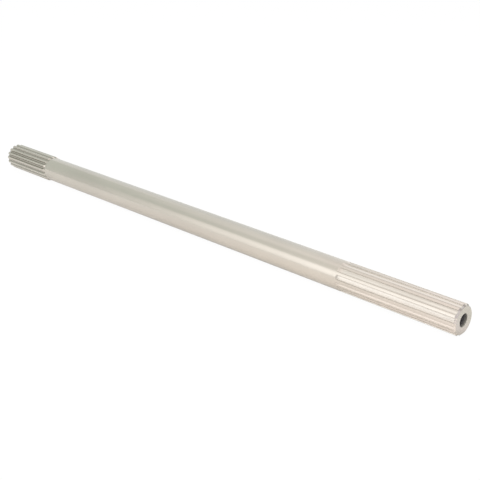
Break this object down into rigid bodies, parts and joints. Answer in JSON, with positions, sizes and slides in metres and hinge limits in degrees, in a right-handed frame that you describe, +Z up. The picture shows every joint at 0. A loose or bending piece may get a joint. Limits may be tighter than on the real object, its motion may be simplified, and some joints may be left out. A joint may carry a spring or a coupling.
{
  "type": "splined shaft",
  "caption": "Long ground steel shaft with a raised involute spline at one end and a shallow straight-sided spline and blind centre bore at the other.",
  "frame": {"origin": "on the shaft's axis, at the flat face of the bored end", "axes": "+X along the axis, from the involute spline to the bored end; +Z up as the shaft lies, through a land of the straight spline"},
  "size_m": [0.756, 0.0346, 0.0346],
  "materials": {
    "ground_steel": "fine ground, satin"
  },
  "bodies": {
    "root": {"splined_shaft": "ground_steel"}
  },
  "joints": []
}
